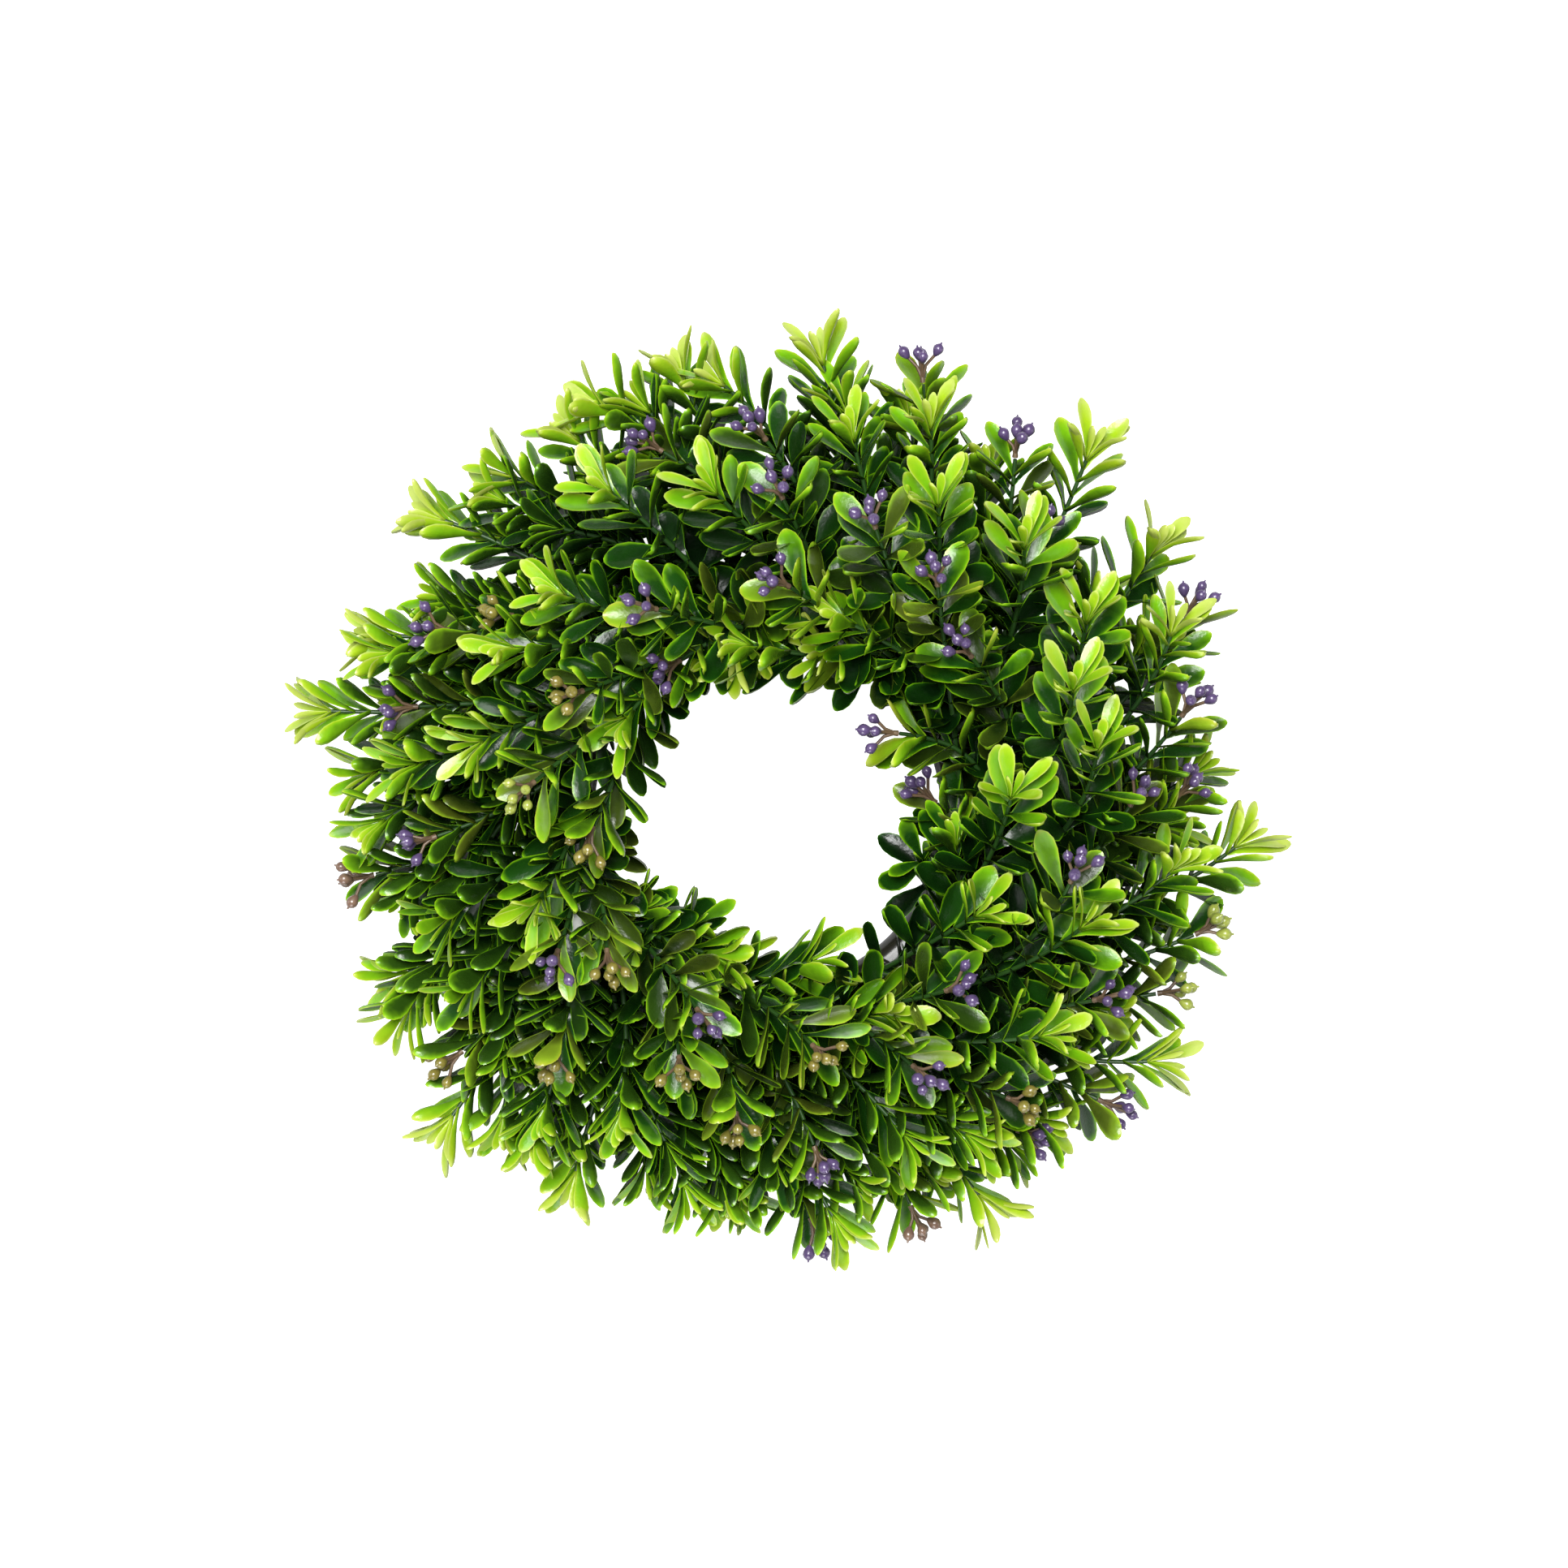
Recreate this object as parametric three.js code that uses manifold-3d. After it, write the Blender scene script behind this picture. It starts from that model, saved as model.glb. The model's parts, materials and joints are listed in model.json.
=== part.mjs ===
// Boxwood wreath: a moulded ring with a flat back, bunches of leafy sprigs that stand in
// sockets round its crest, and sprays of buds at the tips of some sprigs.
// Millimetres, +Z up. The wreath lies on its back, so its front looks along +Z.

import * as THREE from "three";
import { mergeVertices } from "three/addons/utils/BufferGeometryUtils.js";
import Module from "manifold-3d";

const wasm = await Module();
wasm.setup();

// Base ring
const RING_RADIUS = 58.5; // of its centre line
const RING_WIDTH = 13;
const RING_HEIGHT = 12;
const RING_BACK_WIDTH = 8; // the flat that the wreath lies on, and the flat of its crest
const RING_SIDE = [3.6, 7.8]; // heights between which its sides are upright
const RING_SEGMENTS = 28;

// Bunches, evenly spaced round the ring, each with its foot in a socket of the crest
const BUNCHES = 14;
const FIRST_BUNCH = -29; // degrees, anticlockwise from +X
const FOOT_RADIUS = 2.4;
const FOOT_SIDES = 6;
const SOCKET_DEPTH = 7;
const FOOT_TOP = 26;
const CLEARANCE = 0.35; // between any two pieces

// The sprigs of each bunch, from the lowest fork of the foot to the highest, with the bend and
// the tip of each stem: direction round the ring's axis, distance from it and height.
const FORKS = [15, 17, 20, 23, 25];
const SPRIGS = [
  [
    { bend: [339, 111, 20], tip: [356, 139, 28] },
    { bend: [357, 98, 20], tip: [13, 124, 42], buds: "purple" },
    { bend: [340, 92, 26], tip: [1, 105, 52], buds: "purple" },
    { bend: [13, 85, 32], tip: [31, 45, 47], buds: "purple" },
    { bend: [351, 93, 41], tip: [11, 96, 74] },
  ],
  [
    { bend: [24, 100, 13], tip: [34, 137, 30] },
    { bend: [8, 110, 18], tip: [24, 129, 44] },
    { bend: [32, 83, 20], tip: [45, 113, 46], buds: "purple" },
    { bend: [14, 91, 33], tip: [31, 107, 66] },
    { bend: [33, 64, 39], tip: [53, 81, 74], buds: "purple" },
  ],
  [
    { bend: [39, 102, 13], tip: [48, 141, 30] },
    { bend: [41, 94, 17], tip: [55, 127, 34], buds: "purple" },
    { bend: [33, 71, 38], tip: [68, 60, 60] },
    { bend: [30, 86, 37], tip: [46, 106, 70] },
    { bend: [50, 67, 38], tip: [69, 87, 72], buds: "purple" },
  ],
  [
    { bend: [57, 99, 14], tip: [70, 135, 26], buds: "purple" },
    { bend: [55, 88, 23], tip: [67, 122, 46] },
    { bend: [63, 78, 29], tip: [77, 111, 52] },
    { bend: [49, 56, 35], tip: [96, 49, 52] },
    { bend: [50, 60, 41], tip: [84, 65, 69], buds: "purple" },
  ],
  [
    { bend: [78, 103, 16], tip: [96, 127, 30] },
    { bend: [73, 93, 18], tip: [83, 134, 28] },
    { bend: [73, 82, 26], tip: [90, 108, 50], buds: "purple" },
    { bend: [70, 63, 38], tip: [87, 90, 68], buds: "purple" },
    { bend: [87, 50, 40], tip: [118, 66, 70], buds: "purple" },
  ],
  [
    { bend: [93, 103, 20], tip: [112, 128, 30] },
    { bend: [112, 87, 20], tip: [127, 124, 30] },
    { bend: [108, 61, 30], tip: [146, 49, 55] },
    { bend: [102, 69, 36], tip: [116, 103, 60] },
    { bend: [115, 54, 40], tip: [133, 86, 62] },
  ],
  [
    { bend: [127, 89, 18], tip: [138, 130, 22] },
    { bend: [135, 70, 24], tip: [150, 107, 38], buds: "purple" },
    { bend: [133, 49, 36], tip: [184, 50, 60], buds: "olive" },
    { bend: [142, 51, 36], tip: [172, 67, 66] },
    { bend: [116, 52, 37], tip: [146, 63, 70], buds: "olive" },
  ],
  [
    { bend: [186, 73, 14], tip: [189, 118, 18] },
    { bend: [161, 90, 15], tip: [167, 134, 20] },
    { bend: [142, 84, 18], tip: [155, 124, 24] },
    { bend: [150, 69, 20], tip: [163, 107, 34], buds: "purple" },
    { bend: [172, 56, 22], tip: [184, 97, 36], buds: "purple" },
  ],
  [
    { bend: [206, 72, 14], tip: [204, 118, 16] },
    { bend: [207, 91, 18], tip: [217, 49, 34] },
    { bend: [198, 58, 24], tip: [210, 99, 40] },
    { bend: [209, 57, 33], tip: [228, 90, 54], buds: "olive" },
    { bend: [189, 50, 37], tip: [213, 71, 68], buds: "purple" },
  ],
  [
    { bend: [218, 86, 12], tip: [224, 131, 18] },
    { bend: [220, 70, 20], tip: [233, 108, 36] },
    { bend: [231, 60, 24], tip: [244, 97, 46] },
    { bend: [207, 64, 35], tip: [250, 44, 51] },
    { bend: [235, 50, 28], tip: [250, 74, 62], buds: "olive" },
  ],
  [
    { bend: [234, 78, 13], tip: [242, 122, 16] },
    { bend: [253, 70, 14], tip: [263, 112, 20] },
    { bend: [254, 51, 29], tip: [264, 87, 48], buds: "olive" },
    { bend: [244, 65, 32], tip: [286, 45, 47] },
    { bend: [262, 48, 42], tip: [281, 67, 70], buds: "olive" },
  ],
  [
    { bend: [267, 78, 13], tip: [276, 121, 16] },
    { bend: [289, 78, 15], tip: [290, 124, 18] },
    { bend: [281, 61, 28], tip: [293, 102, 44] },
    { bend: [287, 65, 35], tip: [315, 72, 66], buds: "purple" },
    { bend: [286, 51, 37], tip: [300, 83, 66], buds: "purple" },
  ],
  [
    { bend: [293, 86, 15], tip: [299, 131, 18] },
    { bend: [310, 86, 20], tip: [319, 129, 26] },
    { bend: [294, 75, 24], tip: [310, 108, 46], buds: "olive" },
    { bend: [303, 58, 32], tip: [334, 67, 62] },
    { bend: [299, 81, 37], tip: [321, 102, 60] },
  ],
  [
    { bend: [312, 103, 18], tip: [327, 135, 26] },
    { bend: [327, 101, 20], tip: [344, 131, 28] },
    { bend: [333, 100, 25], tip: [352, 119, 48] },
    { bend: [340, 70, 35], tip: [4, 70, 70] },
    { bend: [325, 91, 38], tip: [347, 89, 68], buds: "purple" },
  ],
];

// Stem, square and tapered, with leaves in pairs that stand crosswise to the pair before
const STEM_RADIUS = 1.3;
const STEM_TIP_RADIUS = 0.9;
const STEM_SIDES = 4;
const LEAF_PAIRS = 4;
const LEAFY_LENGTH = 45; // of the stem from its first pair of leaves to its tip
const ROOT_LENGTH = 2; // of the stem's flat side that a leaf grows from
const STEM_TURN = Math.PI / 4; // of a stem's flat sides about its line
const STEM_TURN_STRAY = 0.5;

// Leaves
const LEAF_LENGTH = 17.5;
const LEAF_WIDTH = 8.8;
const LEAF_THICKNESS = 0.8;
const WIDEST_AT = 0.64; // shares of the length
const END_AT = 0.97;
const END_WIDTH = 0.52; // share of the width that the blunt end keeps
const CUP_DEPTH = 1.5;
const LEAF_BOW = 1.6; // how far the leaf tip curls outwards
const LEAF_SPREAD = 44; // degrees between a leaf and its stem
const END_SPREAD = 24; // the same for the end pair of a sprig without buds
const END_SIZE = 0.85;
const SIZE_STRAY = 0.08;
const SPREAD_STEPS = [0, -9, 9, -18, 18, -27, 27]; // tried in turn to clear other pieces
const LOWEST_LEAF = 1; // height that no leaf goes below

// Faces of a leaf: four root corners, then its keel, right rim, hollow and left rim at the
// widest place, then the left and right corner of its blunt end.
const LEAF_FACES = [
  [0, 1, 4], [1, 5, 4], [1, 2, 5], [2, 6, 5], [2, 3, 6], [3, 7, 6], [3, 0, 7], [0, 4, 7],
  [4, 5, 9], [4, 9, 8], [4, 8, 7], [6, 7, 8], [6, 8, 9], [6, 9, 5],
];
const ROOT_FACES = [[0, 3, 2], [0, 2, 1]];

// Bud sprays: three buds round one in the middle
const SIDE_BUDS = 3;
const BUD_SPREAD = 38;
const BUD_RADIUS = 2.3;
const BUD_LENGTH = 4.6;
const STALK_LENGTH = 7;
const STALK_RADIUS = 0.5;
const STALK_SIDES = 3;
const HUB_RADIUS = 0.9;
const HUB_LENGTH = 2.4;
const SPRAY_GAP = 0.5; // between a stem's end and the hub on it
const SPRAY_TURNS = [0, 20, 40, 60, 80, 100]; // tried in turn to clear other pieces

const UP = new THREE.Vector3(0, 0, 1);

// A number from -1 to 1 that is always the same for the same bunch, row and item.
function stray(bunch, row, item) {
  const wave = Math.sin(12.9898 * bunch + 78.233 * row + 37.719 * item + 1.7) * 43758.5453;
  return 2 * (wave - Math.floor(wave)) - 1;
}

// A point at a direction round the ring's axis, a distance from it and a height.
function place(degrees, radius, height) {
  const turn = THREE.MathUtils.degToRad(degrees);
  return new THREE.Vector3(radius * Math.cos(turn), radius * Math.sin(turn), height);
}

// The direction of a bunch's socket, in degrees.
function socketOf(bunch) {
  return FIRST_BUNCH + (360 / BUNCHES) * bunch;
}

function solidOf(geometry) {
  const vertProperties = geometry.getAttribute("position").array;
  const triVerts = new Uint32Array(geometry.index.array);
  return new wasm.Manifold(new wasm.Mesh({ numProp: 3, vertProperties, triVerts }));
}

function meshOf(name, solid, material) {
  const { vertProperties, triVerts } = solid.getMesh();
  const geometry = new THREE.BufferGeometry();
  geometry.setAttribute("position", new THREE.BufferAttribute(vertProperties, 3));
  geometry.setIndex(new THREE.BufferAttribute(triVerts, 1));
  geometry.computeVertexNormals();
  const mesh = new THREE.Mesh(geometry, material);
  mesh.name = name;
  return mesh;
}

function geometryOf(points, faces) {
  const geometry = new THREE.BufferGeometry().setFromPoints(points);
  geometry.setIndex(faces.flat());
  return geometry;
}

// Faces that skin a row of sections, whose points run anticlockwise seen from the last one,
// and cap both ends. The quads that start at an open corner are left out.
function skin(sectionCount, sides, openCorners = []) {
  const last = (sectionCount - 1) * sides;
  const faces = [];
  for (let corner = 0; corner < last; corner++) {
    const next = corner % sides === sides - 1 ? corner + 1 - sides : corner + 1;
    if (!openCorners.includes(corner)) {
      faces.push([corner, next, next + sides], [corner, next + sides, corner + sides]);
    }
  }
  for (let side = 1; side + 1 < sides; side++) {
    faces.push([0, side + 1, side], [last, last + side, last + side + 1]);
  }
  return faces;
}

// Two directions square to a line and to each other.
function sidesOf(along) {
  const reference = Math.abs(along.z) > 0.98 ? new THREE.Vector3(0, 1, 0) : UP;
  const across = reference.clone().cross(along).normalize();
  return { across, over: along.clone().cross(across) };
}

// A regular polygon round a point, square to a line, with a flat side at the turn.
function section(centre, along, sides, radius, flatTurn = 0) {
  const { across, over } = sidesOf(along);
  const points = [];
  for (let side = 0; side < sides; side++) {
    const turn = flatTurn + (2 * Math.PI * (side + 0.5)) / sides;
    const point = centre.clone().addScaledVector(across, radius * Math.cos(turn));
    points.push(point.addScaledVector(over, radius * Math.sin(turn)));
  }
  return points;
}

// A straight rod with its own radius at each distance from its foot.
function rod(foot, along, sides, stations) {
  const sections = stations.map(({ distance, radius }) =>
    section(foot.clone().addScaledVector(along, distance), along, sides, radius),
  );
  return solidOf(geometryOf(sections.flat(), skin(sections.length, sides)));
}

// A foot, or with a margin the socket that it stands in.
function footOf(socket, margin) {
  const bottom = RING_HEIGHT - SOCKET_DEPTH + (margin ? 0 : CLEARANCE);
  const radius = FOOT_RADIUS + margin;
  const stations = [
    { distance: 0, radius },
    { distance: FOOT_TOP - bottom, radius },
  ];
  return rod(place(socket, RING_RADIUS, bottom), UP, FOOT_SIDES, stations);
}

// The points of a leaf past its root, along +X with the hollow up.
function bladePoints(size) {
  const widest = WIDEST_AT * LEAF_LENGTH * size;
  const end = END_AT * LEAF_LENGTH * size;
  const half = (LEAF_WIDTH * size) / 2;
  const rim = -LEAF_BOW * WIDEST_AT * WIDEST_AT;
  const hollow = rim - CUP_DEPTH;
  return [
    new THREE.Vector3(widest, 0, hollow - LEAF_THICKNESS / 2),
    new THREE.Vector3(widest, half, rim),
    new THREE.Vector3(widest, 0, hollow + LEAF_THICKNESS / 2),
    new THREE.Vector3(widest, -half, rim),
    new THREE.Vector3(end, -END_WIDTH * half, -LEAF_BOW),
    new THREE.Vector3(end, END_WIDTH * half, -LEAF_BOW),
  ];
}

// Puts a leaf's root at a point of the stem and leans it out to one side, upper face inwards.
function leafStance(root, along, side, spread) {
  const turn = THREE.MathUtils.degToRad(spread);
  const length = along.clone().multiplyScalar(Math.cos(turn)).addScaledVector(side, Math.sin(turn));
  const normal = along.clone().multiplyScalar(Math.sin(turn)).addScaledVector(side, -Math.cos(turn));
  const width = normal.clone().cross(length);
  return new THREE.Matrix4().makeBasis(length, width, normal).setPosition(root);
}

// Every piece made so far, so that the next one can keep clear of the others.
const made = [];

function keep(owner, solid) {
  made.push({ owner, solid, box: solid.boundingBox() });
  return solid;
}

// Whether the boxes of two pieces lie apart by at least the clearance.
function apart(a, b) {
  const gap = (axis) => Math.max(a.min[axis] - b.max[axis], b.min[axis] - a.max[axis]);
  return [0, 1, 2].some((axis) => gap(axis) > CLEARANCE);
}

// Whether a piece keeps the clearance to all but its owner's pieces.
function isClear(owner, solid) {
  const box = solid.boundingBox();
  const near = made.filter((other) => other.owner !== owner && !apart(box, other.box));
  return box.min[2] > LOWEST_LEAF && near.every((other) => solid.minGap(other.solid, 1) > CLEARANCE);
}

// Grows a leaf, bent in or out until it clears every other piece, or leaves it off.
function growLeaf(sprig, corners, along, side, spread, size) {
  const root = new THREE.Vector3();
  corners.forEach((corner) => root.addScaledVector(corner, 1 / corners.length));
  for (const step of SPREAD_STEPS) {
    const stance = leafStance(root, along, side, spread + step);
    const points = bladePoints(size).map((point) => point.applyMatrix4(stance));
    const leaf = solidOf(geometryOf([...corners, ...points], [...LEAF_FACES, ...ROOT_FACES]));
    if (isClear(sprig, leaf)) {
      keep(sprig, leaf);
      return points;
    }
  }
  return null;
}

// Lays out the sections of a stem: its foot, its middle and both ends of each leaf root.
function stemSections({ line, flatTurn }) {
  const length = line.getLength();
  const root = ROOT_LENGTH / length;
  const start = 1 - LEAFY_LENGTH / length;
  const step = (1 - root - start) / (LEAF_PAIRS - 1);
  const shares = [0, start / 2];
  for (let pair = 0; pair < LEAF_PAIRS; pair++) {
    shares.push(start + pair * step, start + pair * step + root);
  }
  return shares.map((share) => {
    const radius = THREE.MathUtils.lerp(STEM_RADIUS, STEM_TIP_RADIUS, share);
    return section(line.getPointAt(share), line.getTangentAt(share), STEM_SIDES, radius, flatTurn);
  });
}

// Grows the leaves of a sprig out of the flat sides of its stem, so that both are one skin.
// Where buds end the stem, the last pair spreads like the others.
function growSprig(sprig) {
  const { bunch, row, buds, sections } = sprig;
  const points = sections.flat();
  const openCorners = [];
  const leafFaces = [];
  for (let pair = 0; pair < LEAF_PAIRS; pair++) {
    const isEnd = pair === LEAF_PAIRS - 1;
    const spread = isEnd && !buds ? END_SPREAD : LEAF_SPREAD;
    const size = (isEnd ? END_SIZE : 1) + SIZE_STRAY * stray(bunch, row, 10 + pair);
    const first = STEM_SIDES * (2 + 2 * pair);
    for (const side of [pair % 2, (pair % 2) + 2]) {
      const next = (side + 1) % STEM_SIDES;
      const roots = [side, next, next + STEM_SIDES, side + STEM_SIDES].map((index) => first + index);
      const corners = roots.map((index) => points[index]);
      const along = corners[3].clone().sub(corners[0]).normalize();
      const out = along.clone().cross(corners[0].clone().sub(corners[1])).normalize();
      const leaf = growLeaf(sprig, corners, along, out, spread, size);
      if (leaf) {
        const indices = [...roots, ...leaf.map((_, index) => points.length + index)];
        points.push(...leaf);
        openCorners.push(roots[0]);
        leafFaces.push(...LEAF_FACES.map((face) => face.map((index) => indices[index])));
      }
    }
  }
  const stemFaces = skin(sections.length, STEM_SIDES, openCorners);
  return solidOf(geometryOf(points, [...stemFaces, ...leafFaces]));
}

// The centre line of a sprig's stem.
function sprigLine(bunch, row) {
  const { bend, tip } = SPRIGS[bunch][row];
  return new THREE.QuadraticBezierCurve3(
    place(socketOf(bunch), RING_RADIUS, FORKS[row]),
    place(...bend),
    place(...tip),
  );
}

// The direction of a bud's stalk, leaning from the line of the stem.
function leaning(along, spread, turn) {
  const { across, over } = sidesOf(along);
  return along
    .clone()
    .multiplyScalar(Math.cos(spread))
    .addScaledVector(across, Math.sin(spread) * Math.cos(turn))
    .addScaledVector(over, Math.sin(spread) * Math.sin(turn));
}

// The side stalks leave a small hub on the end of a stem, the first of them at the given turn.
function sprayOf(line, firstTurn) {
  const along = line.getTangent(1);
  const foot = line.getPoint(1).addScaledVector(along, SPRAY_GAP);
  const bud = [
    { distance: STALK_LENGTH, radius: STALK_RADIUS },
    { distance: STALK_LENGTH + BUD_LENGTH / 2, radius: BUD_RADIUS },
    { distance: STALK_LENGTH + BUD_LENGTH, radius: STALK_RADIUS },
  ];
  const hub = [
    { distance: 0, radius: HUB_RADIUS },
    { distance: HUB_LENGTH, radius: STALK_RADIUS },
  ];
  const pieces = [rod(foot, along, STALK_SIDES, [...hub, ...bud])];
  const fork = foot.clone().addScaledVector(along, HUB_LENGTH / 2);
  for (let side = 0; side < SIDE_BUDS; side++) {
    const turn = THREE.MathUtils.degToRad(firstTurn + (360 * side) / SIDE_BUDS);
    const way = leaning(along, THREE.MathUtils.degToRad(BUD_SPREAD), turn);
    pieces.push(rod(fork, way, STALK_SIDES, [{ distance: 0, radius: STALK_RADIUS }, ...bud]));
  }
  return wasm.Manifold.union(pieces);
}

// Grows a spray, turned until it clears every other piece, or leaves it off.
function growSpray(sprig) {
  const tries = SPRAY_TURNS.map((turn) => sprayOf(sprig.line, turn));
  const clear = tries.find((spray) => isClear(sprig, spray));
  return clear ? [{ buds: sprig.buds, solid: keep(null, clear) }] : [];
}

// The ring: a section with a flat back turned about the axis, with a socket for each foot.
function ringOf() {
  const [low, high] = RING_SIDE;
  const outerHalf = [
    [RING_BACK_WIDTH / 2, 0],
    [RING_WIDTH / 2, low],
    [RING_WIDTH / 2, high],
    [RING_BACK_WIDTH / 2, RING_HEIGHT],
  ];
  const innerHalf = outerHalf.map(([out, height]) => [-out, height]).reverse();
  const outline = [...outerHalf, ...innerHalf, outerHalf[0]];
  const points = outline.map(([out, height]) => new THREE.Vector2(RING_RADIUS + out, height));
  const turned = new THREE.LatheGeometry(points, RING_SEGMENTS).rotateX(Math.PI / 2);
  turned.deleteAttribute("normal");
  turned.deleteAttribute("uv");
  const ring = solidOf(mergeVertices(turned, 0.001));
  return bunches.reduce((rest, bunch) => rest.subtract(footOf(socketOf(bunch), CLEARANCE)), ring);
}

const ringPlastic = new THREE.MeshStandardMaterial({ color: 0x2b2320, roughness: 0.4, metalness: 0 });
const leafPlastic = new THREE.MeshStandardMaterial({ color: 0x4f9a1c, roughness: 0.4, metalness: 0 });
const purpleBud = new THREE.MeshStandardMaterial({ color: 0x5c4a8f, roughness: 0.35, metalness: 0 });
const oliveBud = new THREE.MeshStandardMaterial({ color: 0x9a9a32, roughness: 0.35, metalness: 0 });

const bunches = Array.from({ length: BUNCHES }, (_, bunch) => bunch);
const sprigs = SPRIGS.flatMap((own, bunch) =>
  own.map(({ buds }, row) => ({
    bunch,
    row,
    buds,
    line: sprigLine(bunch, row),
    flatTurn: STEM_TURN + STEM_TURN_STRAY * stray(bunch, row, 3),
  })),
);

// Ring, feet and stems come first, then the buds, then the leaves in the room that is left.
const ring = keep(null, ringOf());
const feet = bunches.map((bunch) => keep(null, footOf(socketOf(bunch), 0)));
for (const sprig of sprigs) {
  sprig.sections = stemSections(sprig);
  const faces = skin(sprig.sections.length, STEM_SIDES);
  keep(sprig, solidOf(geometryOf(sprig.sections.flat(), faces)));
}
const sprays = sprigs.filter(({ buds }) => buds).flatMap(growSpray);
for (const sprig of sprigs) {
  sprig.solid = growSprig(sprig);
}

const numbered = (name, index) => `${name}_${String(index + 1).padStart(2, "0")}`;
const wreath = new THREE.Group();
wreath.add(meshOf("base_ring", ring, ringPlastic));
for (const bunch of bunches) {
  const own = sprigs.filter((sprig) => sprig.bunch === bunch).map(({ solid }) => solid);
  const fused = wasm.Manifold.union([feet[bunch], ...own]);
  wreath.add(meshOf(numbered("bunch", bunch), fused, leafPlastic));
}
sprays.forEach(({ buds, solid }, index) => {
  wreath.add(meshOf(numbered("bud_spray", index), solid, buds === "olive" ? oliveBud : purpleBud));
});

// The origin is the middle of the wreath's outline, on the surface that the ring lies on.
const outline = new THREE.Box3().setFromObject(wreath);
const middle = outline.getCenter(new THREE.Vector3());
wreath.position.set(-middle.x, -middle.y, -outline.min.z);

export default wreath;
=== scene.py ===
"""An artificial boxwood wreath, built round its CAD solids: the moulded ring, bunches of leafy
sprigs that stand in it, and sprays of small buds on the tips of some sprigs. Metres, +Z up."""

import json
import math

import bpy
from mathutils import Matrix, Vector

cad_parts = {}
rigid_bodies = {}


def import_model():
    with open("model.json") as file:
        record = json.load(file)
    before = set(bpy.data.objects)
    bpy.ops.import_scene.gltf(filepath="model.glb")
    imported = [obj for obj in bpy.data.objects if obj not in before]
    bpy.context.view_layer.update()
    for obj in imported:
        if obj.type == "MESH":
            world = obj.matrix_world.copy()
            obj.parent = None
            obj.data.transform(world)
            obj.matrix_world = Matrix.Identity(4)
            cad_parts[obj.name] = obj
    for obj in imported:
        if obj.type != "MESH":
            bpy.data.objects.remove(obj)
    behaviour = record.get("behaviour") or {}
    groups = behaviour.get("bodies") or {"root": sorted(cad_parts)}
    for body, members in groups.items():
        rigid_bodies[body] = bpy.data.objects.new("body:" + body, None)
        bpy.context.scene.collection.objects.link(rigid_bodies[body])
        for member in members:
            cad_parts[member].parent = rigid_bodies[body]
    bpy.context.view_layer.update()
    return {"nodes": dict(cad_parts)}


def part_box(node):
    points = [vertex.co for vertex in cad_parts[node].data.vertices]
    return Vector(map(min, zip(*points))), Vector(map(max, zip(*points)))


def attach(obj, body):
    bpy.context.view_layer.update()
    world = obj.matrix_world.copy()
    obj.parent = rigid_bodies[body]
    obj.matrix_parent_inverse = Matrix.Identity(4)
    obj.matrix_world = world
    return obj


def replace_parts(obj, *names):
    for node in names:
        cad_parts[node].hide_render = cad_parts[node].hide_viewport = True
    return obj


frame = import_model()


# Base ring
# One moulding of dark brown plastic, 13 mm wide and 12 mm thick, with a flat back that the
# wreath lies on. A low collar round each socket of its crest grips the foot of a bunch.

RING_RADIUS = 0.0585
RING_SEGMENTS = 168
RING_SECTION = [  # out from the centre line and up, round half of the section
    (0.0, 0.0),
    (0.0036, 0.0),
    (0.0050, 0.0008),
    (0.0062, 0.0028),
    (0.0065, 0.0056),
    (0.0060, 0.0086),
    (0.0046, 0.0108),
    (0.0025, 0.0118),
    (0.0, 0.0120),
]
BUNCHES = 14
FIRST_BUNCH = -29  # direction of the first socket, in degrees from +X
COLLAR_SEGMENTS = 20
COLLAR_SECTION = [  # out from the middle of the socket and up
    (0.0026, 0.0112),
    (0.0043, 0.0112),
    (0.0040, 0.0136),
    (0.0034, 0.0141),
    (0.0026, 0.0141),
]
RING_BROWN = (0.009, 0.009, 0.006, 1)
WORN_BROWN = (0.020, 0.018, 0.012, 1)

ring_low, ring_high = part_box("base_ring")
ring_centre = (ring_low + ring_high) / 2
ring_centre.z = ring_low.z


def place(degrees, radius, height):
    """A point at a direction round the ring's axis, a distance from it and a height."""
    turn = math.radians(degrees)
    return ring_centre + Vector((radius * math.cos(turn), radius * math.sin(turn), height))


def socket_direction(bunch):
    """The direction of a bunch's socket, in degrees from +X."""
    return FIRST_BUNCH + 360 / BUNCHES * bunch


def turned(section, segments, centre):
    """Points and faces of a closed section turned about an upright axis."""
    points = []
    for segment in range(segments):
        turn = 2 * math.pi * segment / segments
        for out, height in section:
            points.append(centre + Vector((out * math.cos(turn), out * math.sin(turn), height)))
    faces = []
    count = len(section)
    for segment in range(segments):
        here = segment * count
        there = (segment + 1) % segments * count
        for index in range(count):
            after = (index + 1) % count
            faces.append((here + index, there + index, there + after, here + after))
    return points, faces


def add_mesh(name, points, faces):
    """Puts a smooth-shaded mesh in the scene."""
    mesh = bpy.data.meshes.new(name)
    mesh.from_pydata(points, [], faces)
    mesh.polygons.foreach_set("use_smooth", [True] * len(mesh.polygons))
    piece = bpy.data.objects.new(name, mesh)
    bpy.context.scene.collection.objects.link(piece)
    return piece


class Nodes:
    """A node tree that is put together one node at a time."""

    def __init__(self, tree):
        self.tree = tree

    def add(self, kind, inputs=(), **settings):
        """Adds a node, sets or links its inputs by name or number, and returns it."""
        node = self.tree.nodes.new(kind)
        for name, value in settings.items():
            setattr(node, name, value)
        for name, value in dict(inputs).items():
            if isinstance(value, bpy.types.NodeSocket):
                self.tree.links.new(value, node.inputs[name])
            else:
                node.inputs[name].default_value = value
        return node


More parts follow.
